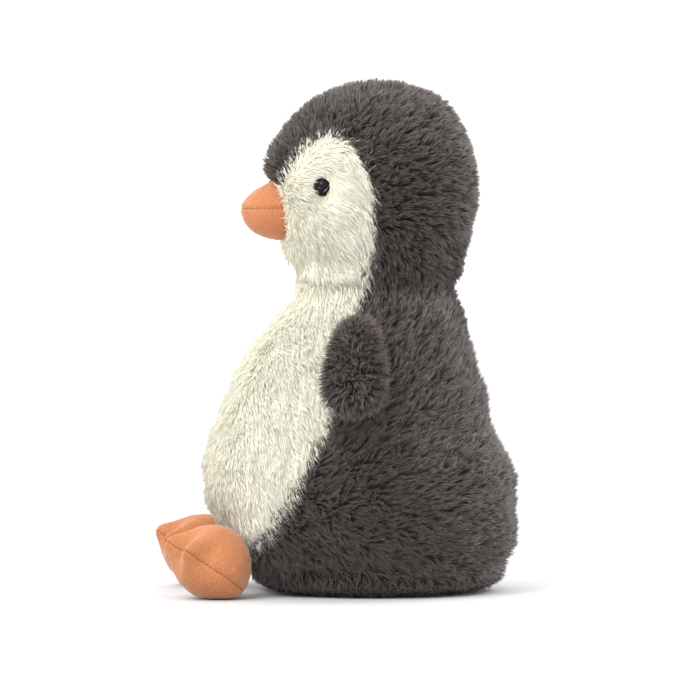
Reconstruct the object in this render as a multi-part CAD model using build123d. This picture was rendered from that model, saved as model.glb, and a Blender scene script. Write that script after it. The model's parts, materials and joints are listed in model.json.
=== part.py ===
from build123d import *
import math
import os

# Stuffed toy penguin that sits upright. Millimetres, +Z up, the penguin faces -Y and its left side is +X.
# The origin is on the floor, under the middle of the toy.
# Fur fabric panels are modelled as thick skins: their outer face is the tips of the pile, and their inner
# face is the woven backing, which lies on the stuffing.

WORLD = 400                 # side of the blocks that cut the toy apart

# Body: two overlapping balls and a neck, flat at the floor.
BELLY_BALL = (0, 9.5, 44)
BELLY_RADIUS = 70.5
CHEST_BALL = (0, 8.5, 84)
CHEST_RADIUS = 59
NECK_RADIUS = 37.2
PILE = 7                    # fur fabric, from the backing to the tips of the pile
BASE_SEAM_Z = 11            # level of the seam round the base disc

# Neck joint: the head rides on a round dome at the top of the body.
DOME_CENTRE = (0, 15, 108)
DOME_RADIUS = 46.5
DOME_GAP = 0.5
DOME_START_Z = 122          # above this level the body stays inside the dome's sphere
NECK_SEAM_Z = 136

# Head: a ball with a skirt that runs down to the neck seam.
HEAD_CENTRE = (0, 15, 181.2)
HEAD_RADIUS = 47.5
SKIRT_DROP = 16             # the skirt leaves the ball this far below the ball's middle

# Pale fur. Seen from the side, the belly panel ends at a slanted line, and the face at an upright line and
# a round lobe. Each line is given by a point on it, as (Y, Z).
BELLY_LINE_LOW = (-42, 8)
BELLY_LINE_HIGH = (5, 128)
FACE_REAR_Y = 10
LOBE_CENTRE = (-20, 176)
# Dark fur comes down between the two lobes to the beak: the right-hand half of its outline, as (X, Z).
PEAK_OUTLINE = [(12, 181), (27, 196), (33, 206), (33, 240)]

# Beak: a round-nosed plug in two pieces of felt.
BEAK_CENTRE = (0, -29, 170)
BEAK_RADIUS = 13.5
BEAK_ROOT_Y = -24.5
BEAK_SEAM_Z = 171
BEAK_GAP = 0.3
FELT = 1.5

# Eyes: plastic domes with a stem through the backing and a washer behind it.
EYE_ANGLE = 54.5            # round from the face's middle line
EYE_RADIUS = 4.4
EYE_POCKET_RADIUS = 5
EYE_SEAT = HEAD_RADIUS - PILE + 1      # distance of the dome's flat back from the head's middle
STEM_RADIUS = 1.5
STEM_LENGTH = 8
WASHER_RADIUS = 6
WASHER_THICKNESS = 1.2

# Flippers: flat rounded paddles that point out, down and a little forwards from the shoulder.
SHOULDER = (62.5, 0.5, 113.5)
FLIPPER_ROOT_RADIUS = 10
FLIPPER_TIP_RADIUS = 14
FLIPPER_REACH = 39          # from the shoulder to the middle of the rounded tip
FLIPPER_THICKNESS = 18
FLIPPER_EDGE = 8.5          # rounding of the paddle's edges
FLIPPER_DROOP = 32
FLIPPER_YAW = 10
FLIPPER_WALL = 5

# Feet: fat stuffed felt feet with three toes each, toes up, turned out a little.
FOOT_CENTRE = (39, -63.3, 16.4)
FOOT_RADIUS = 16
TOE_RADIUS = 7
TOE_REACH = 12
TOE_SPREAD = 34
FOOT_TILT = 34
FOOT_SPLAY = 12
FOOT_SEAM = -2              # the seam lies below the foot's middle plane
FOOT_WALL = 1.8

# Bean pouch in the base.
POUCH_CENTRE = (0, 15, 24)
POUCH_RADIUS = 38
POUCH_HEIGHT = 22
POUCH_EDGE = 10
POUCH_WALL = 1


def halfspace(point, direction):
    """Everything on the side of the plane through point that direction points to."""
    plane = Plane(origin=point, z_dir=direction)
    return plane * Pos(0, 0, WORLD / 2) * Box(WORLD, WORLD, WORLD)


def dome(extra):
    return Pos(*DOME_CENTRE) * Sphere(DOME_RADIUS + extra)


def body_form(inset):
    height = DOME_CENTRE[2] + DOME_RADIUS - CHEST_BALL[2]
    neck = Pos(0, DOME_CENTRE[1], CHEST_BALL[2] + height / 2) * Cylinder(NECK_RADIUS - inset, height)
    balls = Pos(*BELLY_BALL) * Sphere(BELLY_RADIUS - inset) + Pos(*CHEST_BALL) * Sphere(CHEST_RADIUS - inset)
    return (balls + neck) & halfspace((0, 0, inset), (0, 0, 1))


def belly_space():
    """Everything in front of the belly panel's slanted edges."""
    run = BELLY_LINE_HIGH[0] - BELLY_LINE_LOW[0]
    rise = BELLY_LINE_HIGH[1] - BELLY_LINE_LOW[1]
    return halfspace((0, *BELLY_LINE_LOW), (0, -rise, run))


def pouch_form(inset):
    height = POUCH_HEIGHT - 2 * inset
    form = Pos(*POUCH_CENTRE) * Cylinder(POUCH_RADIUS - inset, height)
    return fillet(form.edges().filter_by(GeomType.CIRCLE), POUCH_EDGE - inset)


def body_pieces():
    above_dome_start = halfspace((0, 0, DOME_START_Z), (0, 0, 1))
    whole = body_form(0) - (above_dome_start - dome(0))
    skin = (whole - halfspace((0, 0, NECK_SEAM_Z), (0, 0, 1))) - body_form(PILE)
    above_base = halfspace((0, 0, BASE_SEAM_Z), (0, 0, 1))
    wall = skin & above_base
    sides = wall - belly_space()
    left = halfspace((0, 0, 0), (1, 0, 0))
    pouch = pouch_form(0)
    pellets = pouch_form(POUCH_WALL)
    return {
        "base_panel": skin - above_base,
        "belly_panel": wall & belly_space(),
        "body_side_left": sides & left,
        "body_side_right": sides - left,
        "body_stuffing": whole - skin - pouch,
        "bean_pouch": pouch - pellets,
        "bean_pellets": pellets,
    }


def head_form(inset, start=(1, 0, 0), arc=360):
    """A ball with a skirt, turned from its half outline, which faces start, round the neck's upright axis."""
    radius = HEAD_RADIUS - inset
    skirt_top = math.sqrt(radius ** 2 - SKIRT_DROP ** 2)
    crown = math.degrees(math.asin(SKIRT_DROP / radius))
    top = HEAD_CENTRE[2] + radius
    waist = HEAD_CENTRE[2] - SKIRT_DROP
    lines = Polyline((0, top), (0, NECK_SEAM_Z), (NECK_RADIUS - inset, NECK_SEAM_Z), (skirt_top, waist))
    ball_outline = CenterArc((0, HEAD_CENTRE[2]), radius, -crown, 90 + crown)
    plane = Plane(origin=(0, HEAD_CENTRE[1], 0), x_dir=start, z_dir=Vector(start).cross(Vector(0, 0, 1)))
    outline = plane * make_face(lines.edges() + ball_outline.edges())
    return revolve(outline, Axis(plane.origin, (0, 0, 1)), arc) - dome(DOME_GAP)


def face_space():
    """The space that holds the pale face: in front of its rear edge, without the dark peak."""
    lobe_y, lobe_z = LOBE_CENTRE
    lobe_radius = FACE_REAR_Y - lobe_y
    front = Polyline((lobe_y, lobe_z + lobe_radius), (-WORLD / 4, lobe_z + lobe_radius), (-WORLD / 4, 0),
                     (FACE_REAR_Y, 0), (FACE_REAR_Y, lobe_z))
    lobe = CenterArc((lobe_y, lobe_z), lobe_radius, 0, 90)
    cheeks = extrude(Plane.YZ * make_face(front.edges() + lobe.edges()), WORLD / 2, both=True)
    mirrored = [(-x, z) for x, z in reversed(PEAK_OUTLINE)]
    peak = extrude(Plane.XZ * make_face(Polyline(*PEAK_OUTLINE, *mirrored, close=True)), WORLD / 2)
    return cheeks - peak


def beak_form(inset):
    """A plug that points along -Y, turned from its half outline."""
    radius = BEAK_RADIUS - inset
    length = BEAK_ROOT_Y - BEAK_CENTRE[1]
    root = Plane(origin=(0, BEAK_ROOT_Y, BEAK_CENTRE[2]), x_dir=(0, -1, 0), z_dir=(1, 0, 0))
    back = Polyline((length + radius, 0), (0, 0), (0, radius), (length, radius))
    nose = CenterArc((length, 0), radius, 0, 90)
    return revolve(root * make_face(back.edges() + nose.edges()), Axis(root.origin, (0, -1, 0)))


def beak_opening():
    length = WORLD / 4
    middle = (0, BEAK_ROOT_Y - length / 2, BEAK_CENTRE[2])
    return Pos(*middle) * Rot(90, 0, 0) * Cylinder(BEAK_RADIUS + BEAK_GAP, length)


def disc(frame, radius, start, length):
    return frame * Pos(0, 0, start + length / 2) * Cylinder(radius, length)


def eye_pieces(side):
    """The dome with its stem, the washer, and the space that they take up in the head."""
    turn = math.radians(EYE_ANGLE)
    frame = Plane(origin=HEAD_CENTRE, z_dir=(side * math.sin(turn), -math.cos(turn), 0))
    ball = frame * Pos(0, 0, EYE_SEAT) * Sphere(EYE_RADIUS)
    front = disc(frame, 2 * EYE_RADIUS, EYE_SEAT, 2 * EYE_RADIUS)
    stem = disc(frame, STEM_RADIUS, EYE_SEAT - STEM_LENGTH, STEM_LENGTH)
    washer_start = HEAD_RADIUS - PILE - WASHER_THICKNESS
    washer = disc(frame, WASHER_RADIUS, washer_start, WASHER_THICKNESS)
    pocket = disc(frame, EYE_POCKET_RADIUS, EYE_SEAT, 2 * PILE)
    return (ball & front) + stem, washer - stem, pocket + stem + washer


def head_side_left():
    """The left half of the head's dark fur, from the face's edge to the centre seam."""
    front = (0, -1, 0)
    half = head_form(0, front, 180) - head_form(PILE, front, 180)
    return half - beak_opening() - face_space()


def head_pieces():
    eye_left, washer_left, room_left = eye_pieces(1)
    eye_right, washer_right, room_right = eye_pieces(-1)
    inner = head_form(PILE)
    skin = head_form(0) - inner - beak_opening()
    beak = beak_form(0)
    beak_stuffing = beak_form(FELT)
    felt = beak - beak_stuffing
    upper = halfspace((0, 0, BEAK_SEAM_Z), (0, 0, 1))
    return {
        "head_side_left": head_side_left(),
        "head_side_right": mirror(head_side_left(), about=Plane.YZ),
        "face_panel": (skin & face_space()) - room_left - room_right,
        "head_stuffing": inner - beak - room_left - room_right,
        "beak_upper": felt & upper,
        "beak_lower": felt - upper,
        "beak_stuffing": beak_stuffing,
        "eye_left": eye_left,
        "eye_right": eye_right,
        "eye_washer_left": washer_left,
        "eye_washer_right": washer_right,
    }


def flipper_form(inset):
    """A paddle along +X with a round root at the shoulder and a rounder tip."""
    root = Circle(FLIPPER_ROOT_RADIUS - inset)
    tip = Pos(FLIPPER_REACH, 0) * Circle(FLIPPER_TIP_RADIUS - inset)
    outline = make_hull((root + tip).edges())
    plate = extrude(outline, FLIPPER_THICKNESS / 2 - inset, both=True)
    rims = plate.faces().filter_by(Axis.Z).edges()
    return fillet(rims, FLIPPER_EDGE - inset)


def flipper_pieces(name):
    place = Pos(*SHOULDER) * Rot(0, 0, -FLIPPER_YAW) * Rot(0, FLIPPER_DROOP, 0)
    stuffing = flipper_form(FLIPPER_WALL)
    skin = flipper_form(0) - stuffing
    outside = halfspace((0, 0, 0), (0, 0, 1))
    return {
        f"{name}_outer": place * (skin & outside),
        f"{name}_inner": place * (skin - outside),
        f"{name}_stuffing": place * stuffing,
    }


def foot_form(inset):
    form = Sphere(FOOT_RADIUS - inset)
    for turn in (-TOE_SPREAD, 0, TOE_SPREAD):
        form += Rot(0, 0, turn) * Pos(0, -TOE_REACH, 0) * Sphere(TOE_RADIUS - inset)
    return form


def foot_pieces(name):
    place = Pos(*FOOT_CENTRE) * Rot(0, 0, FOOT_SPLAY) * Rot(-FOOT_TILT, 0, 0)
    stuffing = foot_form(FOOT_WALL)
    skin = foot_form(0) - stuffing
    upper = halfspace((0, 0, FOOT_SEAM), (0, 0, 1))
    return {
        f"{name}_upper": place * (skin & upper),
        f"{name}_sole": place * (skin - upper),
        f"{name}_stuffing": place * stuffing,
    }


def both_sides(make, name):
    """The left limb's pieces, and their mirror images on the right."""
    pieces = make(f"{name}_left")
    for node, solid in list(pieces.items()):
        pieces[node.replace("_left", "_right")] = mirror(solid, about=Plane.YZ)
    return pieces


def main():
    os.makedirs("parts", exist_ok=True)
    pieces = body_pieces() | head_pieces()
    pieces |= both_sides(flipper_pieces, "flipper")
    pieces |= both_sides(foot_pieces, "foot")
    for node, solid in pieces.items():
        export_step(solid, f"parts/{node}.step")


main()
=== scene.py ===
import json
import math

import bmesh
import bpy
import numpy as np
from mathutils import Matrix, Vector


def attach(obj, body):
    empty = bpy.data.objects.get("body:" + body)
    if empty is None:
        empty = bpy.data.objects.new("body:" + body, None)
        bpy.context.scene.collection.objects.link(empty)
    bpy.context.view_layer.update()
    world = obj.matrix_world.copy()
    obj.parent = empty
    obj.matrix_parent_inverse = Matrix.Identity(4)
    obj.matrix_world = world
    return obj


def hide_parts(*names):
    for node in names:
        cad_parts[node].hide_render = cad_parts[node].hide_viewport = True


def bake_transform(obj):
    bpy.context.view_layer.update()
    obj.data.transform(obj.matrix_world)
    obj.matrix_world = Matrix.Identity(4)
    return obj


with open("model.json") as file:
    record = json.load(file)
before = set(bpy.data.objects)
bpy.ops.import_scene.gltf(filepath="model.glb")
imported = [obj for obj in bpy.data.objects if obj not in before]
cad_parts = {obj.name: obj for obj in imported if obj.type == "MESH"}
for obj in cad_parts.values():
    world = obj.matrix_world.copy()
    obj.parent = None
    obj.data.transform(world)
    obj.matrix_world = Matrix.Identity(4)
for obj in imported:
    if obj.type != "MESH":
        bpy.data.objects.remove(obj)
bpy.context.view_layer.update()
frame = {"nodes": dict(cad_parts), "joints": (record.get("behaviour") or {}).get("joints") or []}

bl_info = {
    "name": "Plush penguin",
    "version": (1, 0, 0),
    "blender": (4, 5, 0),
    "location": "3D View > Sidebar > Penguin",
    "description": "Fur, felt, eyes and studio for a sitting plush penguin",
    "category": "Object",
}

# Lengths are millimetres.
MM = 0.001

# Outer shape at the tips of the pile, from bottom to top: level, middle (Y), half depth (Y), half width (X).
BODY_ROWS = [
    (0.9, 16, 0, 0), (0.8, 16, 27, 25), (0.9, 17.6, 45.5, 44), (4.2, 17.8, 53.8, 52), (12, 17.6, 58.4, 56),
    (20, 16.8, 63.6, 60.5), (30, 13.2, 67.6, 65), (42, 10.2, 70.4, 68), (52, 9.2, 70.4, 68.3),
    (62, 7.8, 68, 66.3), (75, 7, 63.3, 61.8), (88, 8.4, 59.5, 57), (100, 9, 54.8, 52.5),
    (113, 11.7, 48.8, 47.5), (124, 14.8, 43, 42.6), (133, 16.8, 37.4, 37.5), (141, 16.8, 34.5, 35),
    (149, 16.4, 22, 22), (151, 16.4, 0, 0),
]
HEAD_ROWS = [
    (141, 16.6, 0, 0), (136.5, 16.6, 22, 22), (135.5, 16.8, 33.5, 34.5), (139, 17.2, 38, 39),
    (145, 17.4, 39.2, 40.6), (152, 15.8, 42, 42.4), (160, 15.4, 45.2, 44), (171, 15.8, 47.4, 45.6),
    (182, 15, 48.3, 46.4), (193, 14.5, 47.5, 45.6), (203, 15, 43.4, 42), (211, 16.2, 38, 37),
    (217.5, 17.2, 31.4, 30.6), (223.2, 18.2, 22.6, 22.2), (226.8, 18.8, 12.4, 12.2), (228, 18.9, 0, 0),
]
# The flipper and the eye are given straight, along their own axis, in the same four numbers.
FLIPPER_ROWS = [
    (-25, 0, 0, 0), (-24, 0, 7, 7), (-14, 0, 10, 9.5), (-4, 0, 11, 10.6), (6, 0, 12.8, 11.6),
    (15, 0, 14, 12.4), (24, 0, 14.8, 12.4), (33, 0, 14, 11.4), (39.5, 0, 11.4, 8.8), (44, 0, 6.6, 4.8),
    (45, 0, 0, 0),
]
EYE_ROWS = [
    (-2.6, 0, 0, 0), (-2.5, 0, 3.4, 3.4), (-1.2, 0, 4.15, 4.15), (0.2, 0, 4.2, 4.2), (1.7, 0, 3.7, 3.7),
    (2.8, 0, 2.5, 2.5), (3.4, 0, 1.1, 1.1), (3.5, 0, 0, 0),
]

# Edge of the pale fur on the body and on the face: for each level, how far back it reaches (Y).
BELLY_EDGE = [
    (12, -51), (22, -43.5), (34, -34.5), (51, -25), (69, -15.5), (80, -11), (100, -5), (118, -1),
    (133, 6.8), (141, 9.5),
]
FACE_EDGE = [
    (133, 6.5), (140, 8), (157, 9.6), (170, 10), (182, 8.4), (190, 4.8), (197, 0), (202, -6.5), (206, -15),
]
FACE_TOP = 202.5
# The dark peak between the two lobes of the face: for each level, its half width (X).
PEAK_EDGE = [(180, 12), (184, 18), (187, 21), (190, 22.6), (195, 25.4), (199, 29), (202, 34), (204, 40)]
BASE_SEAM = (11.5, -0.06)        # level of the seam round the base at Y = 0, and how it slopes with Y

PILE_DEPTH = 4.6                 # from the tips of the pile to the backing
BACKING = 1.2                    # thickness of the backing fabric
LEAST_PILE = 0.05                # share of the full pile below which no strand grows
NECK_INSIDE = 138.5              # level above which the body is inside the head and has no pile
FOOT_SWELL = (9, 17, (37, -34, 22))     # soft swell of the body behind a foot: height, width, middle

DARK_NAP = {"Lean": 0.42, "Tuft Size": 0.0021, "Gather": 0.9, "Ruffle": 1.9, "Curl": 0.2}
HEAD_NAP = DARK_NAP | {"Lean": 0.22}
FLIPPER_NAP = DARK_NAP | {"Lean": 0.2, "Ruffle": 2.1, "Curl": 0.3}
PALE_NAP = {"Lean": 0.65, "Tuft Size": 0.0026, "Gather": 0.3, "Ruffle": 0.75, "Curl": 0.22}
PALE_RADIUS = 0.85               # radius and number of the pale strands against the dark ones
PALE_DENSITY = 1.3
BASE_DENSITY = 0.5

EYE_TURN = math.radians(51.5)
EYE_LEVEL = 179.4
EYE_SEAT = 41.6
HEAD_MIDDLE = 15
EYE_CLEARING = (3.7, 5)          # where the pile starts from the eye's middle, and how fast it fills

BEAK_RADII = (14.2, 17.5, 13.6)
BEAK_MIDDLE = (0, -26, 169.8)
BEAK_SEAM_Z = 170.2
BEAK_SLOPE = 0.4                 # how far the top of the beak is drawn back
BEAK_VOXEL = 0.7

FLIPPER_DROOP = math.radians(40)
FLIPPER_DROP = (0, 0, -2.0)
FLIPPER_YAW = math.radians(10)
FLIPPER_BEND = (-12, 18)         # where the bend at the shoulder starts, and its length
FLIPPER_PILE_DEPTH = 4.2
SLEEVE = -16                     # the flipper has no pile before here, inside the body

FOOT_CENTRE = (39, -60.5, 17.4)
FOOT_SET_BACK = {"foot_left": 0.0, "foot_right": 2.4}
FOOT_TILT = math.radians(34)
FOOT_SPLAY = math.radians(10)
FOOT_UPPER = 20.5
FOOT_LOWER = 12.8
FOOT_REST = 2.4                  # how far the foot is pressed flat where it rests on the floor
FOOT_LEVEL = 0.4
FOOT_RADIUS = 15.8
FOOT_HEEL = 0.9                  # how much further out the heel is
FOOT_AROUND = 220
FOOT_RINGS = 44
TOES = ((-38, 7.3), (0, 8.4), (38, 7.3))        # direction in degrees and reach of each toe
TOE_WIDTH = 12.2
TOE_POWER = 1.8

SEAM_GROOVE = (0.35, 0.5)        # depth and width of the groove along a felt seam
SEAM_SWELL = (0.2, 1.8, 1.1)     # height, place and width of the swell beside it
STITCH_LIFT = 0.12
STITCH_INSET = 0.35

FLOOR_REACH = 6
FLOOR_TONE = 0.58
SKY_STRENGTH = 1.76
LIGHTS = (("key", 31, (1.3, -1.1, 1.7)), ("back", 12, (-0.6, 1.4, 1.4)))       # name, power, place
LIGHT_SIZE = 1.2
LIGHT_TARGET = (0, 0, 0.1)
AIM_ACROSS = 0.0053
AIM_LEVEL = 0.1074


class PenguinPile(bpy.types.PropertyGroup):
    dark_length: bpy.props.FloatProperty(
        name="Dark pile", description="Length of the dark fur", default=0.0057, unit="LENGTH")
    pale_length: bpy.props.FloatProperty(
        name="Pale pile", description="Length of the pale fur", default=0.0088, unit="LENGTH")
    density: bpy.props.FloatProperty(
        name="Strands", description="Strands of pile on a square metre of fabric", default=2.1e6)
    strand_radius: bpy.props.FloatProperty(
        name="Strand radius", description="Radius of a strand at its root", default=0.00027, unit="LENGTH")
    dark_colour: bpy.props.FloatVectorProperty(
        name="Dark fur", description="Colour of the dark fur", default=(0.060, 0.047, 0.041), subtype="COLOR")
    pale_colour: bpy.props.FloatVectorProperty(
        name="Pale fur", description="Colour of the pale fur", default=(0.96, 0.935, 0.80), subtype="COLOR")


class PenguinFelt(bpy.types.PropertyGroup):
    colour: bpy.props.FloatVectorProperty(
        name="Felt", description="Colour of the beak and feet", default=(0.408, 0.157, 0.065),
        subtype="COLOR")
    grain: bpy.props.FloatProperty(
        name="Grain", description="Size of the felt's grain", default=0.0005, unit="LENGTH")


class PenguinStage(bpy.types.PropertyGroup):
    azimuth: bpy.props.FloatProperty(
        name="Azimuth", description="Direction that the camera looks from", default=math.radians(83),
        subtype="ANGLE")
    elevation: bpy.props.FloatProperty(
        name="Elevation", description="Height of the camera above the horizon", default=math.radians(1.2),
        subtype="ANGLE")
    distance: bpy.props.FloatProperty(
        name="Distance", description="From the camera to the toy", default=1.9, unit="LENGTH")
    view_width: bpy.props.FloatProperty(
        name="View width", description="Width of the picture at the toy", default=0.3119, unit="LENGTH")


# ---------------------------------------------------------------- forms

def smooth_rows(rows, step):
    """The rows of a form on a smooth curve through the given ones, evenly spaced along its outline."""
    rows = np.array(rows, float)
    ends = np.vstack([rows[0], rows, rows[-1]])
    path = []
    for i in range(len(rows) - 1):
        a, b, c, d = ends[i:i + 4]
        t = np.linspace(0, 1, 24, endpoint=False)[:, None]
        path.append(0.5 * (2 * b + (c - a) * t + (2 * a - 5 * b + 4 * c - d) * t ** 2
                           + (3 * b - a - 3 * c + d) * t ** 3))
    path = np.vstack(path + [rows[-1:]])
    path[:, 2:] = np.maximum(path[:, 2:], 0)
    run = np.concatenate([[0], np.cumsum(np.hypot(np.diff(path[:, 0]), np.diff(path[:, 2])))])
    even = np.linspace(0, run[-1], int(run[-1] / step) + 1)
    return np.column_stack([np.interp(even, run, path[:, k]) for k in range(4)])


def loft(rows, around, step):
    """Points and faces of a closed form made of oval rings, with one point at each pole."""
    rings = smooth_rows(rows, step)[1:-1]
    turn = np.arange(around) * 2 * math.pi / around
    x = rings[:, 3, None] * np.sin(turn)
    y = rings[:, 1, None] - rings[:, 2, None] * np.cos(turn)
    z = np.repeat(rings[:, 0, None], around, axis=1)
    low, high = rows[0], rows[-1]
    points = np.vstack([[0, low[1], low[0]], np.stack([x, y, z], -1).reshape(-1, 3), [0, high[1], high[0]]])
    here = np.arange(around)
    after = (here + 1) % around
    faces = [(0, 1 + b, 1 + a) for a, b in zip(here, after)]
    for ring in range(len(rings) - 1):
        start = 1 + ring * around
        faces += [(start + a, start + b, start + around + b, start + around + a) for a, b in zip(here, after)]
    last = 1 + (len(rings) - 1) * around
    faces += [(last + a, last + b, len(points) - 1) for a, b in zip(here, after)]
    return points, faces


def mirrored(faces):
    """The same faces on the mirror image of a form, still facing outward."""
    return [tuple(reversed(face)) for face in faces]


def unit(vectors, least=1e-9):
    return vectors / np.maximum(np.linalg.norm(vectors, axis=1), least)[:, None]


def point_normals(points, faces):
    """The outward way at each point, from the triangles and quads that meet there."""
    total = np.zeros_like(points)
    for size in (3, 4):
        group = np.array([face for face in faces if len(face) == size])
        if len(group):
            corners = points[group]
            across = np.cross(corners[:, -2] - corners[:, 0], corners[:, -1] - corners[:, -3])
            for corner in range(size):
                np.add.at(total, group[:, corner], across)
    return unit(total)


def along(vectors, normals):
    """The part of each vector that lies along the surface, at unit length."""
    return unit(vectors - normals * np.sum(vectors * normals, axis=1)[:, None], 1e-6)


def lumps(points, size, seed):
    """A smooth pattern of soft lumps between about -1 and 1, made of a few crossed waves."""
    rng = np.random.default_rng(seed)
    total = np.zeros(len(points))
    for _ in range(9):
        wave = rng.normal(size=3)
        wave *= 2 * math.pi / (size * rng.uniform(0.7, 1.6) * np.linalg.norm(wave))
        total += np.sin(points @ wave + rng.uniform(0, 2 * math.pi))
    return total / 4


def bump(distance, width):
    """1 at no distance, falling smoothly to almost 0 at twice the width."""
    return np.exp(-(distance / width) ** 2)


def bump_at(points, middle, width):
    return bump(np.linalg.norm(points - middle, axis=1), width)


def level_curve(table, levels):
    """The second number of a table of (level, number), read between its rows."""
    table = np.array(table, float)
    return np.interp(levels, table[:, 0], table[:, 1])


def place_mesh(name, mesh):
    obj = bpy.data.objects.new(name, mesh)
    bpy.context.scene.collection.objects.link(obj)
    return obj


def make_object(name, points, faces, edges=(), scale=MM):
    mesh = bpy.data.meshes.new(name)
    faces = [tuple(int(i) for i in face) for face in faces]
    mesh.from_pydata((np.asarray(points) * scale).tolist(), list(edges), faces)
    mesh.update()
    return place_mesh(name, mesh)


def add_values(mesh, name, values):
    """A number or a vector for each point of a mesh."""
    values = np.asarray(values, np.float32)
    if values.ndim == 1:
        mesh.attributes.new(name, "FLOAT", "POINT").data.foreach_set("value", values)
    else:
        mesh.attributes.new(name, "FLOAT_VECTOR", "POINT").data.foreach_set("vector", values.ravel())


def keep_evaluated(obj):
    """Turns what an object's modifiers make into its own mesh."""
    bpy.context.view_layer.update()
    made = bpy.data.meshes.new_from_object(obj.evaluated_get(bpy.context.evaluated_depsgraph_get()))
    obj.modifiers.clear()
    obj.data = made


def fabric(name, points, normals, faces, comb, pile):
    """A panel of backing fabric with a front, a back and a rim, which carries how its pile is combed."""
    used = sorted({i for face in faces for i in face})
    place = {old: new for new, old in enumerate(used)}
    count = len(used)
    front = [tuple(place[i] for i in face) for face in faces]
    back = [tuple(i + count for i in reversed(face)) for face in front]
    sides = dict.fromkeys(side for face in front for side in zip(face, face[1:] + face[:1]))
    rim = [(b, a, a + count, b + count) for a, b in sides if (b, a) not in sides]
    inner = points[used] - normals[used] * BACKING
    obj = make_object(name, np.vstack([points[used], inner]), front + back + rim)
    for label, values in (("comb", comb[used]), ("pile", pile[used])):
        add_values(obj.data, label, np.concatenate([values, values]))
    add_values(obj.data, "cover", np.concatenate([pile[used] > LEAST_PILE, np.zeros(count)]))
    return obj


# ---------------------------------------------------------------- node helpers

def put(tree, kind, inputs=(), **settings):
    """Adds a node. Inputs are (socket, value or another node's output)."""
    node = tree.nodes.new(kind)
    for key, value in settings.items():
        setattr(node, key, value)
    for socket, value in inputs:
        target = node.inputs[socket]
        if isinstance(value, bpy.types.NodeSocket):
            tree.links.new(value, target)
        else:
            target.default_value = value
    return node


def vector_math(tree, operation, a, b=None, scale=None):
    inputs = [(socket, value) for socket, value in ((0, a), (1, b), (3, scale)) if value is not None]
    return put(tree, "ShaderNodeVectorMath", inputs, operation=operation).outputs["Vector"]


def number_math(tree, operation, a, b):
    return put(tree, "ShaderNodeMath", [(0, a), (1, b)], operation=operation).outputs[0]


def times(tree, a, b):
    return number_math(tree, "MULTIPLY", a, b)


def plus(tree, a, b):
    return number_math(tree, "ADD", a, b)


def minus(tree, a, b):
    return number_math(tree, "SUBTRACT", a, b)


def spread(tree, value, middle, amount):
    """How far a value is from its middle, scaled."""
    return times(tree, minus(tree, value, middle), amount)


def noise(tree, place, scale, detail, output="Fac"):
    inputs = [("Vector", place), ("Scale", scale), ("Detail", detail)]
    return put(tree, "ShaderNodeTexNoise", inputs).outputs[output]


def random_values(tree, inputs, kind):
    return put(tree, "FunctionNodeRandomValue", inputs, data_type=kind)


def named(tree, name, kind):
    """A value that the mesh carries, in geometry nodes."""
    return put(tree, "GeometryNodeInputNamedAttribute", [("Name", name)], data_type=kind).outputs["Attribute"]


def carried(tree, name):
    """A value that the mesh carries, in a material."""
    return put(tree, "ShaderNodeAttribute", attribute_name=name).outputs["Fac"]


def new_tree(name, kind, inputs, outputs):
    """An empty node group, and its inputs to build with. Inputs are (name, type, default)."""
    tree = bpy.data.node_groups.new(name, kind)
    for label, socket_type, default in inputs:
        socket = tree.interface.new_socket(label, in_out="INPUT", socket_type=socket_type)
        if default is not None:
            socket.default_value = default
    given = put(tree, "NodeGroupInput").outputs
    for label, socket_type in outputs:
        tree.interface.new_socket(label, in_out="OUTPUT", socket_type=socket_type)
    return tree, given


def new_geometry_tree(name, inputs):
    first = [("Geometry", "NodeSocketGeometry", None), ("Material", "NodeSocketMaterial", None)]
    return new_tree(name, "GeometryNodeTree", first + inputs, [("Geometry", "NodeSocketGeometry")])


def end_geometry_tree(tree, geometry, material):
    """Makes instances real, smooths them and gives them their material."""
    real = put(tree, "GeometryNodeRealizeInstances", [("Geometry", geometry)])
    smooth = put(tree, "GeometryNodeSetShadeSmooth", [("Geometry", real.outputs[0])])
    coloured = put(tree, "GeometryNodeSetMaterial", [("Geometry", smooth.outputs[0]), ("Material", material)])
    put(tree, "NodeGroupOutput", [(0, coloured.outputs[0])])


def run_tree(obj, tree, values):
    """Runs a geometry nodes tree on an object and keeps the result as a plain mesh."""
    modifier = obj.modifiers.new(tree.name, "NODES")
    modifier.node_group = tree
    for item in tree.interface.items_tree:
        if item.in_out == "INPUT" and item.name in values:
            modifier[item.identifier] = values[item.name]
    keep_evaluated(obj)


# ---------------------------------------------------------------- the pile, in geometry nodes

def strand_nodes(tree, curl):
    """One strand one unit high: three-sided, fuller in the middle, and curled towards +X."""
    sizes = [("Vertices", 3), ("Side Segments", 2), ("Radius Top", 0.0), ("Radius Bottom", 1.0),
             ("Depth", 1.0)]
    cone = put(tree, "GeometryNodeMeshCone", sizes, fill_type="NONE").outputs["Mesh"]
    spot = put(tree, "GeometryNodeInputPosition").outputs[0]
    across, deep, height = put(tree, "ShaderNodeSeparateXYZ", [(0, spot)]).outputs
    fuller = plus(tree, times(tree, height, 1.2), 0.8)
    bend = times(tree, times(tree, height, height), curl)
    x = plus(tree, times(tree, across, fuller), bend)
    y = times(tree, deep, fuller)
    shaped = put(tree, "ShaderNodeCombineXYZ", [(0, x), (1, y), (2, height)]).outputs[0]
    curled = put(tree, "GeometryNodeSetPosition", [("Geometry", cone), ("Position", shaped)]).outputs[0]
    inputs = [("Geometry", curled), ("Name", "along"), ("Value", height)]
    stored = put(tree, "GeometryNodeStoreNamedAttribute", inputs, data_type="FLOAT", domain="POINT")
    return stored.outputs[0]


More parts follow.
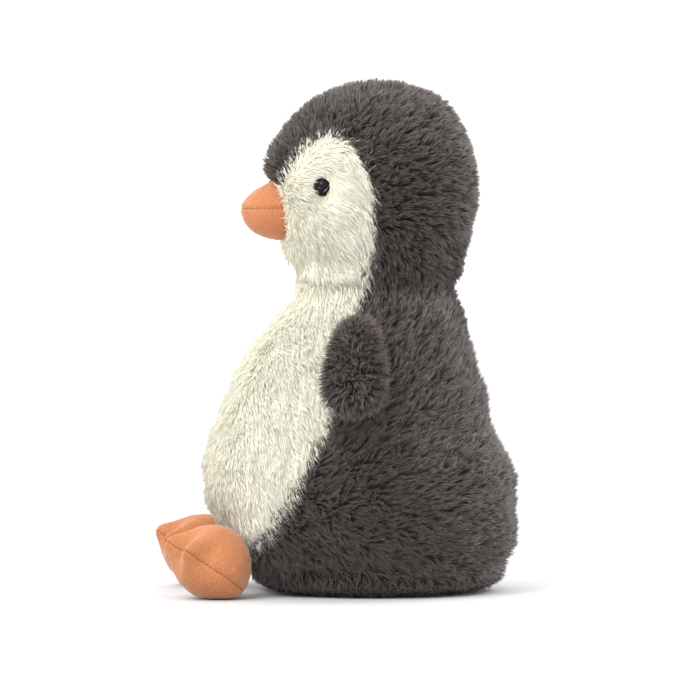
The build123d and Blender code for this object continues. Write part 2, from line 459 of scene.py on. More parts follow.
def nap_nodes(tree, given, roots, spot, tuft):
    """The way that a strand points, combed and ruffled, before its tuft draws it in."""
    normal = roots.outputs["Normal"]
    waves = vector_math(tree, "SUBTRACT", noise(tree, tuft, 170.0, 2.0, "Color"), (0.5, 0.5, 0.5))
    waves = vector_math(tree, "SCALE", waves, scale=given["Ruffle"])
    stray = random_values(tree, [(0, (-0.16,) * 3), (1, (0.16,) * 3)], "FLOAT_VECTOR").outputs[0]
    upright = vector_math(tree, "SCALE", normal, scale=minus(tree, 1.0, given["Lean"]))
    combed = vector_math(tree, "SCALE", named(tree, "comb", "FLOAT_VECTOR"), scale=given["Lean"])
    nap = vector_math(tree, "ADD", vector_math(tree, "ADD", upright, combed),
                      vector_math(tree, "ADD", waves, stray))
    product = put(tree, "ShaderNodeVectorMath", [(0, nap), (1, normal)], operation="DOT_PRODUCT")
    rise = product.outputs["Value"]
    lift = number_math(tree, "MAXIMUM", minus(tree, given["Least Rise"], rise), 0.0)
    lifted = vector_math(tree, "ADD", nap, vector_math(tree, "SCALE", normal, scale=lift))
    return vector_math(tree, "NORMALIZE", lifted)


def build_pile_tree():
    """Strands on a panel: rooted at random, combed along it, gathered into tufts, with the backing."""
    tree, given = new_geometry_tree("Pile", [
        ("Length", "NodeSocketFloat", 0.008), ("Radius", "NodeSocketFloat", 0.00027),
        ("Density", "NodeSocketFloat", 1.5e6), ("Lean", "NodeSocketFloat", 0.7),
        ("Tuft Size", "NodeSocketFloat", 0.003), ("Gather", "NodeSocketFloat", 0.6),
        ("Ruffle", "NodeSocketFloat", 0.5), ("Least Rise", "NodeSocketFloat", 0.3),
        ("Curl", "NodeSocketFloat", 0.2), ("Seed", "NodeSocketInt", 1)])
    cover = times(tree, given["Density"], named(tree, "cover", "FLOAT"))
    roots = put(tree, "GeometryNodeDistributePointsOnFaces",
                [("Mesh", given["Geometry"]), ("Density", cover), ("Seed", given["Seed"])])
    spot = put(tree, "GeometryNodeInputPosition").outputs[0]
    per_tuft = number_math(tree, "DIVIDE", 1.0, given["Tuft Size"])
    tuft = put(tree, "ShaderNodeTexVoronoi", [("Vector", spot), ("Scale", per_tuft)]).outputs["Position"]
    inward = vector_math(tree, "SCALE", vector_math(tree, "SUBTRACT", tuft, spot), scale=given["Gather"])
    nap = nap_nodes(tree, given, roots, spot, tuft)
    vary = random_values(tree, [(2, 0.7), (3, 1.15)], "FLOAT").outputs[1]
    length = times(tree, given["Length"], times(tree, named(tree, "pile", "FLOAT"), vary))
    reach = vector_math(tree, "ADD", vector_math(tree, "SCALE", nap, scale=length), inward)
    comb = vector_math(tree, "SCALE", named(tree, "comb", "FLOAT_VECTOR"), scale=0.6)
    down = vector_math(tree, "SUBTRACT", comb, roots.outputs["Normal"])
    turn = put(tree, "FunctionNodeAxesToRotation", [("Primary Axis", reach), ("Secondary Axis", down)],
               primary_axis="Z", secondary_axis="X").outputs[0]
    curl = number_math(tree, "DIVIDE", times(tree, given["Curl"], given["Length"]), given["Radius"])
    size = put(tree, "ShaderNodeCombineXYZ", [(0, given["Radius"]), (1, given["Radius"]), (2, length)])
    strands = put(tree, "GeometryNodeInstanceOnPoints",
                  [("Points", roots.outputs["Points"]), ("Instance", strand_nodes(tree, curl)),
                   ("Rotation", turn), ("Scale", size.outputs[0])])
    tone = random_values(tree, [("Seed", 7)], "FLOAT").outputs[1]
    toned = put(tree, "GeometryNodeStoreNamedAttribute",
                [("Geometry", strands.outputs[0]), ("Name", "tone"), ("Value", tone)],
                data_type="FLOAT", domain="INSTANCE")
    both = put(tree, "GeometryNodeJoinGeometry", [(0, given["Geometry"]), (0, toned.outputs[0])])
    end_geometry_tree(tree, both.outputs[0], given["Material"])
    return tree


def grow_pile(panel, material, seed, nap, length, radius, density):
    """Grows the pile on a panel of fabric, and takes away what the panel carried only for that."""
    tree = bpy.data.node_groups.get("Pile") or build_pile_tree()
    run_tree(panel, tree, nap | {"Material": material, "Seed": seed, "Length": length, "Radius": radius,
                                 "Density": density})
    for spare in ("comb", "pile", "cover"):
        if spare in panel.data.attributes:
            panel.data.attributes.remove(panel.data.attributes[spare])


def grow_dark(panel, material, seed, nap, density=1.0):
    pile = bpy.context.scene.penguin_pile
    grow_pile(panel, material, seed, nap, pile.dark_length, pile.strand_radius, pile.density * density)


def grow_pale(panel, seed):
    pile = bpy.context.scene.penguin_pile
    grow_pile(panel, pale_fur(), seed, PALE_NAP, pile.pale_length, pile.strand_radius * PALE_RADIUS,
              pile.density * PALE_DENSITY)


# ---------------------------------------------------------------- materials

def new_material(name):
    material = bpy.data.materials.new(name)
    material.use_nodes = True
    tree = material.node_tree
    return material, tree, tree.nodes["Principled BSDF"]


def set_constants(shader, **values):
    for name, value in values.items():
        shader.inputs[name.replace("_", " ")].default_value = value


def fur_group():
    """Colour of a strand, which changes from root to tip and from strand to strand. Its darker root is
    painted shade and its lighter tip is painted highlight.
    """
    tree = bpy.data.node_groups.get("Fur tone")
    if tree:
        return tree
    tree, given = new_tree("Fur tone", "ShaderNodeTree", [
        *((label, "NodeSocketColor", None) for label in ("Root", "Middle", "Tip")),
        ("Strand Spread", "NodeSocketFloat", 0.4), ("Patch Spread", "NodeSocketFloat", 0.15)],
        [("Color", "NodeSocketColor")])
    height = carried(tree, "along")
    colour = given["Root"]
    # Painted shade at the root, blending through the middle colour to a painted highlight at the tip.
    for label, start, end in (("Middle", 0.0, 0.55), ("Tip", 0.5, 1.0)):
        share = put(tree, "ShaderNodeMapRange", [(0, height), (1, start), (2, end)]).outputs[0]
        inputs = [(0, share), (6, colour), (7, given[label])]
        colour = put(tree, "ShaderNodeMix", inputs, data_type="RGBA").outputs[2]
    place = put(tree, "ShaderNodeTexCoord").outputs["Object"]
    strand_part = spread(tree, carried(tree, "tone"), 0.5, given["Strand Spread"])
    patch_part = spread(tree, noise(tree, place, 60.0, 3.0), 0.5, given["Patch Spread"])
    value = plus(tree, 1.0, plus(tree, strand_part, patch_part))
    shade = put(tree, "ShaderNodeHueSaturation", [("Value", value), ("Color", colour)])
    put(tree, "NodeGroupOutput", [("Color", shade.outputs[0])])
    return tree


def fur_material(name, colour, root, tip, strand_spread):
    """Root and tip say how much darker and lighter than the middle they are: painted shade at the root,
    painted highlight at the tip.
    """
    material, tree, shader = new_material(name)
    group = put(tree, "ShaderNodeGroup", node_tree=fur_group())
    for label, factor in (("Root", root), ("Middle", (1, 1, 1)), ("Tip", tip)):
        group.inputs[label].default_value = (*[min(c * f, 1) for c, f in zip(colour, factor)], 1)
    group.inputs["Strand Spread"].default_value = strand_spread
    tree.links.new(group.outputs[0], shader.inputs["Base Color"])
    set_constants(shader, Roughness=0.75, Specular_IOR_Level=0.25, Sheen_Weight=0.25, Sheen_Roughness=0.5)
    return material


def felt_group():
    """Grain of brushed felt: its colour and a height."""
    tree = bpy.data.node_groups.get("Felt grain")
    if tree:
        return tree
    tree, given = new_tree("Felt grain", "ShaderNodeTree",
                           [("Colour", "NodeSocketColor", None), ("Grain", "NodeSocketFloat", 0.0005)],
                           [("Color", "NodeSocketColor"), ("Height", "NodeSocketFloat")])
    place = put(tree, "ShaderNodeTexCoord").outputs["Object"]
    per_grain = number_math(tree, "DIVIDE", 1.0, given["Grain"])
    inputs = [("Vector", place), ("Scale", times(tree, per_grain, 0.8))]
    flecks = put(tree, "ShaderNodeTexVoronoi", inputs).outputs["Distance"]
    height = plus(tree, noise(tree, place, per_grain, 4.0), times(tree, flecks, 0.6))
    patch = spread(tree, noise(tree, place, 70.0, 3.0), 0.5, 0.35)
    value = plus(tree, 1.0, plus(tree, spread(tree, height, 0.75, 0.8), patch))
    value = minus(tree, value, times(tree, carried(tree, "seam"), 0.22))
    shade = put(tree, "ShaderNodeHueSaturation", [("Value", value), ("Color", given["Colour"])])
    put(tree, "NodeGroupOutput", [("Color", shade.outputs[0]), ("Height", height)])
    return tree


def felt_material(name):
    settings = bpy.context.scene.penguin_felt
    material, tree, shader = new_material(name)
    group = put(tree, "ShaderNodeGroup", node_tree=felt_group())
    group.inputs["Colour"].default_value = (*settings.colour, 1)
    group.inputs["Grain"].default_value = settings.grain
    tree.links.new(group.outputs["Color"], shader.inputs["Base Color"])
    relief = put(tree, "ShaderNodeBump", [("Height", group.outputs["Height"]), ("Strength", 0.6),
                                          ("Distance", 0.0004)])
    tree.links.new(relief.outputs[0], shader.inputs["Normal"])
    set_constants(shader, Roughness=0.85, Specular_IOR_Level=0.2, Sheen_Weight=0.35, Sheen_Roughness=0.4)
    return material


def flecked_material(name, colour, amount, scale, **constants):
    """A plain finish with a fine, uneven colour."""
    material, tree, shader = new_material(name)
    place = put(tree, "ShaderNodeTexCoord").outputs["Object"]
    value = plus(tree, 1.0, spread(tree, noise(tree, place, scale, 4.0), 0.5, amount))
    shade = put(tree, "ShaderNodeHueSaturation", [("Value", value), ("Color", (*colour, 1))])
    tree.links.new(shade.outputs[0], shader.inputs["Base Color"])
    set_constants(shader, **constants)
    return material


def shared_material(make, name, *values, **constants):
    """The finish of this name, made once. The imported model's own materials have other names."""
    return bpy.data.materials.get(name) or make(name, *values, **constants)


def dark_fur():
    colour = bpy.context.scene.penguin_pile.dark_colour
    # Roots at about a sixth of the colour are painted shade between the strands; tips at 2.3 times are
    # painted highlight.
    return shared_material(fur_material, "dark_pile", colour, (0.16, 0.15, 0.15), (2.3, 2.3, 2.35), 1.1)


def flipper_fur_painted_rim_light():
    colour = bpy.context.scene.penguin_pile.dark_colour
    # A copy of the dark pile with deeper painted shade at the roots and brighter painted highlight at the
    # tips, standing in for rim light on the flipper.
    return shared_material(fur_material, "flipper_pile", colour, (0.07, 0.065, 0.065), (3.1, 3.05, 3.2), 1.1)


def pale_fur():
    colour = bpy.context.scene.penguin_pile.pale_colour
    # Slightly darker, yellower roots are painted shade; slightly lighter tips are painted highlight.
    return shared_material(fur_material, "pale_pile", colour, (0.99, 0.965, 0.88), (1.03, 1.04, 1.06), 0.05)


# ---------------------------------------------------------------- fur panels of the body and head

def body_skin():
    """The backing of the body's fur, with soft lumps and pulled in along its seams."""
    points, faces = loft(BODY_ROWS, 208, 2.0)
    normals = point_normals(points, faces)
    x, y, z = points.T
    depth = PILE_DEPTH * np.clip((z - 1) / 12, 0.25, 1)
    depth += 0.9 * bump(x, 3.5) * (y > 30)
    height, width, (across, back, level) = FOOT_SWELL
    for foot in (-1, 1):
        depth -= height * bump_at(points, (foot * across, back, level), width)
    depth += 0.9 * bump(y - level_curve(BELLY_EDGE, z), 4) * (y < 30)
    depth += 0.3 * bump(z - BASE_SEAM[0] - BASE_SEAM[1] * y, 3)
    depth -= 0.7 * lumps(points, 32, 5) * np.clip(z / 20, 0, 1)
    return points - normals * depth[:, None], normals, faces


def body_comb(points, normals):
    """The ways that the pile is combed on the sides, the belly and the base."""
    x, y, z = points.T
    rise = np.radians(np.interp(z, [3, 12, 24, 60, 100, 134], [-75, -30, 8, 28, 52, 68]))
    side = np.column_stack([np.zeros_like(x), np.cos(rise), np.sin(rise)])
    fall = np.interp(z, [20, 70, 110, 125], [-1.6, -0.8, -0.5, -1.2])
    belly = np.column_stack([np.clip(x / 25, -1, 1), np.full_like(x, 0.25), fall])
    belly = unit(belly)
    hem = np.column_stack([x / 60, (y - 15) / 60, np.full_like(x, -0.9)])
    return along(side, normals), along(belly, normals), along(hem, normals)


def in_front(points, faces, edge):
    """The middle of each face, and whether it lies in front of the given edge."""
    centres = np.array([points[list(face)].mean(axis=0) for face in faces])
    return centres, centres[:, 1] < level_curve(edge, centres[:, 2])


def make_panels(points, normals, faces, nap, panels):
    """Fur panels. Rows are (name, chosen faces, comb, pile, nodes, slot, seed)."""
    for name, chosen, comb, pile, nodes, slot, seed in panels:
        own_faces = [face for face, own in zip(faces, chosen) if own]
        panel = fabric(name, points, normals, own_faces, comb, pile)
        if slot == "pale_fur":
            grow_pale(panel, seed)
        else:
            grow_dark(panel, dark_fur(), seed, nap, BASE_DENSITY if name == "base_fur" else 1.0)
        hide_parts(*nodes)
        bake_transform(panel)


class OBJECT_OT_penguin_body(bpy.types.Operator):
    """Make the body's four fur panels"""
    bl_idname = "object.penguin_body"
    bl_label = "Body fur"

    def execute(self, context):
        points, normals, faces = body_skin()
        side, belly, hem = body_comb(points, normals)
        centres, pale = in_front(points, faces, BELLY_EDGE)
        base = centres[:, 2] < BASE_SEAM[0] + BASE_SEAM[1] * centres[:, 1]
        level = points[:, 2]
        pile = np.clip((level - 1.5) / 9, 0.4, 1) * np.where(level > NECK_INSIDE, 0, 1)
        dark, left = ~base & ~pale, centres[:, 0] > 0
        make_panels(points, normals, faces, DARK_NAP, [
            ("body_side_left_fur", dark & left, side, pile, ("body_side_left", "body_stuffing"),
             "dark_fur", 11),
            ("body_side_right_fur", dark & ~left, side, pile, ("body_side_right",), "dark_fur", 12),
            ("base_fur", base, hem, pile, ("base_panel",), "dark_fur", 13),
            ("belly_fur", ~base & pale, belly, pile, ("belly_panel",), "pale_fur", 14),
        ])
        return {"FINISHED"}


def eye_places():
    """Middle of each eye's back, and the way that it looks."""
    places = []
    for side in (1, -1):
        way = np.array([side * math.sin(EYE_TURN), -math.cos(EYE_TURN), 0])
        places.append((np.array([0, HEAD_MIDDLE, EYE_LEVEL]) + way * EYE_SEAT, way))
    return places


def head_skin():
    """The backing of the head's fur, with soft lumps, a seam at the back and a dip round each eye."""
    points, faces = loft(HEAD_ROWS, 168, 1.7)
    normals = point_normals(points, faces)
    x, y, z = points.T
    depth = np.full(len(points), PILE_DEPTH)
    depth += 0.5 * bump(x, 3) * (y > 15)
    depth -= 0.6 * lumps(points, 30, 8)
    for eye, _ in eye_places():
        depth += 1.2 * bump_at(points, eye, 9)
    return points - normals * depth[:, None], normals, faces


def head_comb(points, normals):
    """The ways that the dark and the pale pile are combed: away from the beak, and round the eyes."""
    x, y, z = points.T
    away = unit(points - BEAK_MIDDLE)
    fall = np.clip((168 - z) / 22, 0, 1)[:, None]
    dark = away * (1 - fall) + np.array([0, 0.1, -1.0]) * fall
    pale = away + np.array([0, 0.1, -0.55])
    beside_peak = bump(np.abs(x) - level_curve(PEAK_EDGE, z), 7) * np.clip((z - 178) / 6, 0, 1)
    inward = np.column_stack([-np.sign(x), np.zeros_like(x), np.full_like(x, 0.1)])
    pale += 1.2 * beside_peak[:, None] * inward
    edge = bump(y - level_curve(FACE_EDGE, z), 7) * np.clip((200 - z) / 8, 0, 1)
    pale += edge[:, None] * np.array([0, -0.4, -0.8])
    for eye, _ in eye_places():
        behind = bump_at(points, eye, 6) * (y > eye[1])
        pale -= 2.2 * behind[:, None] * np.array([0, 1.0, 0])
    upright = np.clip((beak_distance(points) - 1) / 0.7, 0.2, 1)[:, None]
    return along(dark, normals), along(pale, normals) * upright


def beak_distance(points):
    """How far a point of the head is from the beak's middle line, where 1 is the beak's own outline."""
    away = np.hypot(points[:, 0] / BEAK_RADII[0], (points[:, 2] - BEAK_MIDDLE[2]) / BEAK_RADII[2])
    return np.where(points[:, 1] < 0, away, 9)


class OBJECT_OT_penguin_head(bpy.types.Operator):
    """Make the head's dark fur and the pale face"""
    bl_idname = "object.penguin_head"
    bl_label = "Head fur"

    def execute(self, context):
        points, normals, faces = head_skin()
        dark, pale_comb = head_comb(points, normals)
        centres, pale = in_front(points, faces, FACE_EDGE)
        x, y, z = centres.T
        pale &= (z < FACE_TOP) & ((z < PEAK_EDGE[0][0]) | (np.abs(x) > level_curve(PEAK_EDGE, z)))
        near_beak = beak_distance(points)
        pile = np.where(near_beak > 0.94, 0.45 + 0.55 * np.clip((near_beak - 1) / 0.4, 0, 1), 0)
        for eye, _ in eye_places():
            apart = (points - eye) * (1.27, 1.27, 1)
            clear = (np.linalg.norm(apart, axis=1) - EYE_CLEARING[0]) / EYE_CLEARING[1]
            pile = np.minimum(pile, np.clip(clear, 0, 1) ** 0.7)
        pile = np.where(normals[:, 2] < -0.8, 0, pile)
        short = 1 - 0.32 * bump(np.abs(points[:, 0]) - level_curve(PEAK_EDGE, points[:, 2]), 7)
        left = x > 0
        make_panels(points, normals, faces, HEAD_NAP, [
            ("head_side_left_fur", ~pale & left, dark, pile, ("head_side_left", "head_stuffing"),
             "dark_fur", 21),
            ("head_side_right_fur", ~pale & ~left, dark, pile, ("head_side_right",), "dark_fur", 22),
            ("face_fur", pale, pale_comb, pile * short, ("face_panel",), "pale_fur", 23),
        ])
        return {"FINISHED"}


# ---------------------------------------------------------------- flippers

def joint_place(name):
    return next(joint for joint in frame["joints"] if joint["name"] == name)


def drooping(points):
    """Bends a straight form along Z into a left flipper: level out of the body, then hanging outwards."""
    steps = np.linspace(-30, 50, 321)
    droop = FLIPPER_DROOP * np.clip((steps - FLIPPER_BEND[0]) / FLIPPER_BEND[1], 0, 1)
    middle = np.searchsorted(steps, 0)
    run = np.concatenate([[0], np.cumsum(np.cos(droop[:-1]) * np.diff(steps))])
    drop = np.concatenate([[0], np.cumsum(-np.sin(droop[:-1]) * np.diff(steps))])
    out = np.interp(points[:, 2], steps, run - run[middle])
    down = np.interp(points[:, 2], steps, drop - drop[middle])
    lean = np.interp(points[:, 2], steps, droop)
    thick = points[:, 0]
    bent = np.column_stack([out + thick * np.sin(lean), points[:, 1], down + thick * np.cos(lean)])
    return bent @ np.array(Matrix.Rotation(-FLIPPER_YAW, 3, "Z")).T


class OBJECT_OT_penguin_flippers(bpy.types.Operator):
    """Make the two fur flippers"""
    bl_idname = "object.penguin_flippers"
    bl_label = "Flippers"

    def execute(self, context):
        straight, faces = loft(FLIPPER_ROWS, 40, 2.4)
        faces = mirrored(faces)
        bent = drooping(straight)
        way = drooping(straight + np.array([0, 0, 1.0])) - bent
        for side, name in ((1, "flipper_left"), (-1, "flipper_right")):
            mirror = np.array([side, 1, 1])
            shoulder = np.array(joint_place(name + "_flap")["pos_m"]) / MM
            placed = bent * mirror + shoulder + FLIPPER_DROP
            own_faces = faces if side == 1 else mirrored(faces)
            normals = point_normals(placed, own_faces)
            comb = along(way * mirror + normals * 0.01, normals)
            pile = np.where(straight[:, 2] < SLEEVE, 0, 1)
            backing = placed - normals * FLIPPER_PILE_DEPTH
            panel = fabric(name + "_fur", backing, normals, own_faces, comb, pile)
            nodes = [f"{name}_{part}" for part in ("outer", "inner", "stuffing")]
            # The flipper takes the copy of the dark pile with painted rim highlight and painted root shade.
            grow_dark(panel, flipper_fur_painted_rim_light(), 31 + side, FLIPPER_NAP)
            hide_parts(*nodes)
            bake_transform(panel)
        return {"FINISHED"}


# ---------------------------------------------------------------- felt pieces

def even_ball(name, radii, middle):
    """A closed oval form with small faces of even size, a little smoothed."""
    shape = bmesh.new()
    bmesh.ops.create_icosphere(shape, subdivisions=4, radius=1)
    matrix = Matrix.Translation(Vector(middle) * MM) @ Matrix.Diagonal((*(np.array(radii) * MM), 1))
    bmesh.ops.transform(shape, matrix=matrix, verts=shape.verts)
    mesh = bpy.data.meshes.new(name)
    shape.to_mesh(mesh)
    shape.free()
    obj = place_mesh(name, mesh)
    remesh = obj.modifiers.new("Remesh", "REMESH")
    remesh.mode = "VOXEL"
    remesh.voxel_size = BEAK_VOXEL * MM
    soften = obj.modifiers.new("Soften", "SMOOTH")
    soften.factor = 0.5
    soften.iterations = 4
    keep_evaluated(obj)
    return obj


def read_vectors(items, name):
    flat = np.empty(len(items) * 3, np.float32)
    items.foreach_get(name, flat)
    return flat.reshape(-1, 3).astype(float)


def set_points(mesh, points):
    mesh.vertices.foreach_set("co", np.asarray(points, np.float32).ravel())
    mesh.update()
    mesh.shade_smooth()


def finish_felt(obj, body, nodes):
    obj.data.materials.clear()
    obj.data.materials.append(shared_material(felt_material, "brushed_felt"))
    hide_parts(*nodes)
    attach(obj, body)


def foot_radius(turn):
    """Distance from the middle of the foot to its outline. Turn 0 is the way that the middle toe points."""
    radius = np.full_like(turn, FOOT_RADIUS) + FOOT_HEEL * (1 - np.cos(turn)) / 2
    for place, reach in TOES:
        apart = np.degrees(np.abs((turn - math.radians(place) + math.pi) % (2 * math.pi) - math.pi))
        radius += reach * np.exp(-(apart / TOE_WIDTH) ** TOE_POWER)
    return radius


def inflate(radius_at, half, cells):
    """How a flat bag of this outline swells: the square of a quarter of its thickness, on a grid."""
    steps = np.linspace(-half, half, cells)
    x, y = np.meshgrid(steps, steps, indexing="ij")
    inside = np.hypot(x, y) < radius_at(np.arctan2(x, -y))
    square = (steps[1] - steps[0]) ** 2
    swell = np.where(inside, square * cells ** 2 / 16, 0.0)
    for _ in range(2600):
        around = sum(np.roll(swell, step, axis) for axis in (0, 1) for step in (1, -1)) / 4
        swell = np.where(inside, around + square / 4, 0)
    return steps, swell


def sample(steps, values, x, y):
    """The values of a square grid, read between its points."""
    step = steps[1] - steps[0]
    column = np.clip((x - steps[0]) / step, 0, len(steps) - 1.001)
    row = np.clip((y - steps[0]) / step, 0, len(steps) - 1.001)
    i, j = column.astype(int), row.astype(int)
    a, b = column - i, row - j
    return (values[i, j] * (1 - a) * (1 - b) + values[i + 1, j] * a * (1 - b)
            + values[i, j + 1] * (1 - a) * b + values[i + 1, j + 1] * a * b)


def foot_form():
    """A left foot in its own frame: the toes towards -Y and the seam in a level plane."""
    steps, swell = inflate(foot_radius, 24.5, 99)
    turn = np.arange(FOOT_AROUND) * 2 * math.pi / FOOT_AROUND
    share = np.sin(np.linspace(0, math.pi / 2, FOOT_RINGS + 1)[1:])
    reach = np.minimum(share, 0.94)
    radius = foot_radius(turn)
    x = reach[:, None] * radius * np.sin(turn)
    y = -reach[:, None] * radius * np.cos(turn)
    height = 2 * np.sqrt(np.maximum(sample(steps, swell, x, y), 0))
    height *= np.sqrt((1 - share ** 2) / (1 - reach ** 2))[:, None]
    x = share[:, None] * radius * np.sin(turn)
    y = -share[:, None] * radius * np.cos(turn)
    top = 2 * math.sqrt(swell.max())
    upper = np.stack([x, y, height * FOOT_UPPER / top], -1)
    lower = np.stack([x, y, -height * FOOT_LOWER / top], -1)[:-1]
    points = np.vstack([upper.reshape(-1, 3), lower[::-1].reshape(-1, 3),
                        [[0, 0, FOOT_UPPER], [0, 0, -FOOT_LOWER]]])
    here = np.arange(FOOT_AROUND)
    after = (here + 1) % FOOT_AROUND
    rings = 2 * FOOT_RINGS - 1
    faces = []
    for ring in range(rings - 1):
        a, b = ring * FOOT_AROUND, (ring + 1) * FOOT_AROUND
        faces += [(a + i, b + i, b + j, a + j) for i, j in zip(here, after)]
    last = (rings - 1) * FOOT_AROUND
    faces += [(len(points) - 2, i, j) for i, j in zip(here, after)]
    faces += [(len(points) - 1, last + j, last + i) for i, j in zip(here, after)]
    seam = (FOOT_RINGS - 1) * FOOT_AROUND + here
    return points, faces, seam


def sewn(points, normals, seam_distance, lump_size, seed):
    """Pulls the fabric in along its seam, lets it swell beside it, and makes it a little uneven."""
    depth, width = SEAM_GROOVE
    height, place, reach = SEAM_SWELL
    groove = depth * bump(seam_distance, width) - height * bump(seam_distance - place, reach)
    uneven = 0.16 * lumps(points, lump_size, seed) + 0.07 * lumps(points, lump_size / 3, seed + 1)
    return points - normals * (groove + uneven)[:, None]


class OBJECT_OT_penguin_feet(bpy.types.Operator):
    """Make the two stuffed felt feet and their stitches"""
    bl_idname = "object.penguin_feet"
    bl_label = "Feet"

    def execute(self, context):
        own, faces, seam = foot_form()
        normals = point_normals(own, faces)
        ring = np.abs(np.arange(len(own)) // FOOT_AROUND - (FOOT_RINGS - 1))
        ring[-2:] = FOOT_RINGS
        from_seam = ring * (math.pi / 2 / FOOT_RINGS) * 14
        own = sewn(own, normals, from_seam, 11, 3)
        turn = np.array(Matrix.Rotation(FOOT_SPLAY, 3, "Z") @ Matrix.Rotation(-FOOT_TILT, 3, "X"))
        for side, name in ((1, "foot_left"), (-1, "foot_right")):
            placed = (own @ turn.T + np.array(FOOT_CENTRE)) * np.array([side, 1, 1])
            placed[:, 1] += FOOT_SET_BACK[name]
            own_faces = faces if side == 1 else mirrored(faces)
            height = placed[:, 2] - placed[:, 2].min() - FOOT_REST
            placed[:, 2] = FOOT_LEVEL + np.logaddexp(height / 0.7, 0) * 0.7
            obj = make_object(name + "_felt", placed, own_faces)
            add_values(obj.data, "seam", bump(from_seam, 0.35))
            obj.data.shade_smooth()
            finish_felt(obj, name, [f"{name}_{part}" for part in ("upper", "sole", "stuffing")])
            line = placed[seam] + point_normals(placed, own_faces)[seam] * STITCH_LIFT
            stitch(name + "_stitches", line, True, name)
        return {"FINISHED"}


def build_stitch_tree():
    """Short rounded stitches along a line."""
    tree, given = new_geometry_tree("Stitches", [
        ("Spacing", "NodeSocketFloat", 0.0019), ("Length", "NodeSocketFloat", 0.0012),
        ("Radius", "NodeSocketFloat", 0.00018)])
    line = put(tree, "GeometryNodeMeshToCurve", [("Mesh", given["Geometry"])]).outputs[0]
    places = put(tree, "GeometryNodeCurveToPoints", [("Curve", line), ("Length", given["Spacing"])],
                 mode="LENGTH")
    turn = put(tree, "FunctionNodeAlignRotationToVector", [("Vector", places.outputs["Tangent"])], axis="Z")
    bead = put(tree, "GeometryNodeMeshIcoSphere", [("Radius", 1.0), ("Subdivisions", 2)])
    size = put(tree, "ShaderNodeCombineXYZ", [
        (0, given["Radius"]), (1, given["Radius"]), (2, times(tree, given["Length"], 0.5))])
    threads = put(tree, "GeometryNodeInstanceOnPoints",
                  [("Points", places.outputs["Points"]), ("Instance", bead.outputs["Mesh"]),
                   ("Rotation", turn.outputs[0]), ("Scale", size.outputs[0])])
    end_geometry_tree(tree, threads.outputs[0], given["Material"])
    return tree


def stitch(name, line, closed, body):
    """Stitches along a line of points, riding on a body."""
    count = len(line)
    edges = [(i, (i + 1) % count) for i in range(count if closed else count - 1)]
    obj = make_object(name, line, [], edges)
    tree = bpy.data.node_groups.get("Stitches") or build_stitch_tree()
    thread = shared_material(flecked_material, "orange_thread", (0.20, 0.060, 0.025), 0.6, 2500,
                             Roughness=0.7)
    run_tree(obj, tree, {"Material": thread})
    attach(obj, body)


class OBJECT_OT_penguin_beak(bpy.types.Operator):
    """Make the stuffed felt beak with its level seam"""
    bl_idname = "object.penguin_beak"
    bl_label = "Beak"

    def execute(self, context):
        obj = even_ball("beak_felt", BEAK_RADII, BEAK_MIDDLE)
        points = read_vectors(obj.data.vertices, "co") / MM
        normals = read_vectors(obj.data.vertex_normals, "vector")
        from_seam = np.abs(points[:, 2] - BEAK_SEAM_Z)
        above = np.clip((points[:, 2] - BEAK_MIDDLE[2]) / BEAK_RADII[2], 0, 1)
        points[:, 1] -= (points[:, 1] - BEAK_MIDDLE[1]) * BEAK_SLOPE * above ** 2
        set_points(obj.data, sewn(points, normals, from_seam, 12, 17) * MM)
        add_values(obj.data, "seam", bump(from_seam, 0.35))
        finish_felt(obj, "head", ["beak_upper", "beak_lower", "beak_stuffing"])
        turn = np.radians(np.linspace(-88, 88, 60))
        level = math.sqrt(1 - ((BEAK_SEAM_Z - BEAK_MIDDLE[2]) / BEAK_RADII[2]) ** 2)
        line = np.column_stack([(BEAK_RADII[0] - STITCH_INSET) * level * np.sin(turn),
                                BEAK_MIDDLE[1] - (BEAK_RADII[1] - STITCH_INSET) * level * np.cos(turn),
                                np.full_like(turn, BEAK_SEAM_Z)])
        stitch("beak_stitches", line, False, "head")
        return {"FINISHED"}


class OBJECT_OT_penguin_inside(bpy.types.Operator):
    """Give the eyes and the pieces inside their finishes"""
    bl_idname = "object.penguin_inside"
    bl_label = "Eyes and inside"

    def execute(self, context):
        black = shared_material(flecked_material, "glossy_black", (0.006, 0.006, 0.007), 0.8, 300,
                                Roughness=0.1, Specular_IOR_Level=0.12)
        white = shared_material(flecked_material, "white_moulding", (0.8, 0.8, 0.78), 0.2, 400,
                                Roughness=0.45)
        cloth = shared_material(flecked_material, "plain_cloth", (0.72, 0.7, 0.64), 0.5, 1500,
                                Roughness=0.9)
        beads = shared_material(flecked_material, "white_beads", (0.85, 0.85, 0.8), 0.5, 600, Roughness=0.5)
        dome, faces = loft(EYE_ROWS, 40, 0.35)
        for name, (place, way) in zip(("eye_left", "eye_right"), eye_places()):
            turn = np.array(Vector(way).to_track_quat("Z", "Y").to_matrix())
            eye = make_object(name + "_button", dome @ turn.T + place, faces)
            eye.data.materials.append(black)
            eye.data.shade_smooth()
            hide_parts(name)
            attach(eye, "head")
        finishes = {"eye_washer_left": white, "eye_washer_right": white,
                    "bean_pouch": cloth, "bean_pellets": beads}
        for node, material in finishes.items():
            mesh_object = frame["nodes"][node]
            for material_slot in mesh_object.material_slots:
                material_slot.material = material
        return {"FINISHED"}


# ---------------------------------------------------------------- stage

def area_light(name, power, place):
    """A round soft light that looks at the toy."""
    data = bpy.data.lights.new(name, "AREA")
    data.energy = power
    data.shape = "DISK"
    data.size = LIGHT_SIZE
    light = bpy.data.objects.new(name, data)
    light.location = place
    light.rotation_euler = (Vector(LIGHT_TARGET) - Vector(place)).to_track_quat("-Z", "Y").to_euler()
    bpy.context.scene.collection.objects.link(light)


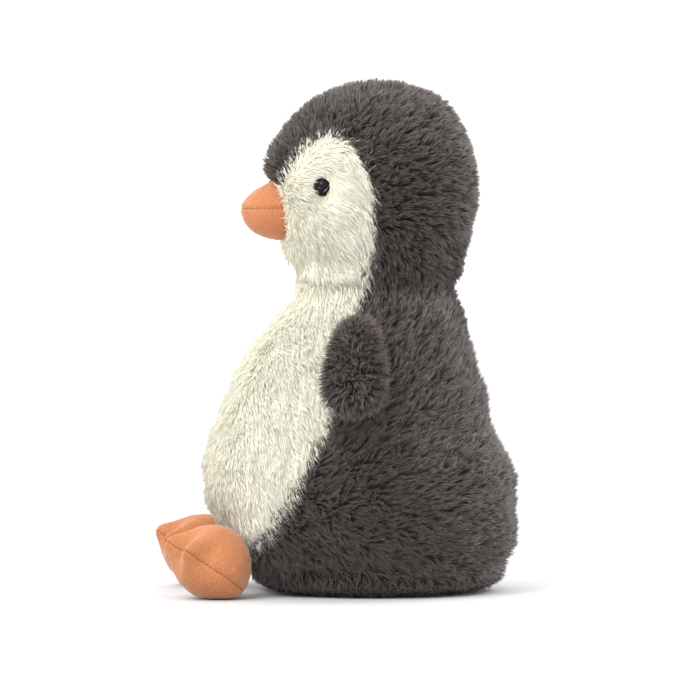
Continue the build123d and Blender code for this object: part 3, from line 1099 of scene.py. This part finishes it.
class OBJECT_OT_penguin_stage(bpy.types.Operator):
    """Make the pale floor, the soft light and the camera"""
    bl_idname = "object.penguin_stage"
    bl_label = "Stage"

    def execute(self, context):
        settings = context.scene.penguin_stage
        corners = [(x * FLOOR_REACH, y * FLOOR_REACH, 0) for x, y in ((-1, -1), (1, -1), (1, 1), (-1, 1))]
        floor = make_object("floor", corners, [(0, 1, 2, 3)], scale=1)
        finish = flecked_material("pale_floor", (FLOOR_TONE,) * 3, 0.02, 3, Roughness=0.9)
        floor.data.materials.append(finish)
        world = bpy.data.worlds.new("studio")
        world.use_nodes = True
        world.node_tree.nodes["Background"].inputs["Color"].default_value = (1, 1, 1, 1)
        world.node_tree.nodes["Background"].inputs["Strength"].default_value = SKY_STRENGTH
        context.scene.world = world
        for name, power, place in LIGHTS:
            area_light(name, power, place)
        turn, rise = settings.azimuth, settings.elevation
        away = Vector((math.sin(turn) * math.cos(rise), -math.cos(turn) * math.cos(rise), math.sin(rise)))
        across = Vector((math.cos(turn), math.sin(turn), 0))
        aim = across * AIM_ACROSS + Vector((0, 0, AIM_LEVEL))
        data = bpy.data.cameras.new("camera")
        data.lens = data.sensor_width * settings.distance / settings.view_width
        camera = bpy.data.objects.new("camera", data)
        camera.location = aim + away * settings.distance
        camera.rotation_mode = "QUATERNION"
        camera.rotation_quaternion = (-away).to_track_quat("-Z", "Y")
        context.scene.collection.objects.link(camera)
        context.scene.camera = camera
        context.scene.view_settings.view_transform = "Standard"
        return {"FINISHED"}


class VIEW3D_PT_penguin(bpy.types.Panel):
    bl_label = "Plush penguin"
    bl_idname = "VIEW3D_PT_penguin"
    bl_space_type = "VIEW_3D"
    bl_region_type = "UI"
    bl_category = "Penguin"

    def draw(self, context):
        for group in (context.scene.penguin_pile, context.scene.penguin_felt, context.scene.penguin_stage):
            for name in group.__annotations__:
                self.layout.prop(group, name)
        for operator in OPERATORS:
            self.layout.operator(operator.bl_idname)


OPERATORS = (
    OBJECT_OT_penguin_stage, OBJECT_OT_penguin_body, OBJECT_OT_penguin_head, OBJECT_OT_penguin_flippers,
    OBJECT_OT_penguin_feet, OBJECT_OT_penguin_beak, OBJECT_OT_penguin_inside,
)
SETTINGS = {"penguin_pile": PenguinPile, "penguin_felt": PenguinFelt, "penguin_stage": PenguinStage}
CLASSES = (*SETTINGS.values(), *OPERATORS, VIEW3D_PT_penguin)


def register():
    for cls in CLASSES:
        bpy.utils.register_class(cls)
    for name, group in SETTINGS.items():
        setattr(bpy.types.Scene, name, bpy.props.PointerProperty(type=group))


def unregister():
    for name in SETTINGS:
        delattr(bpy.types.Scene, name)
    for cls in reversed(CLASSES):
        bpy.utils.unregister_class(cls)


def main():
    register()
    for operator in OPERATORS:
        group, name = operator.bl_idname.split(".")
        getattr(getattr(bpy.ops, group), name)()


if __name__ == "__main__":
    main()
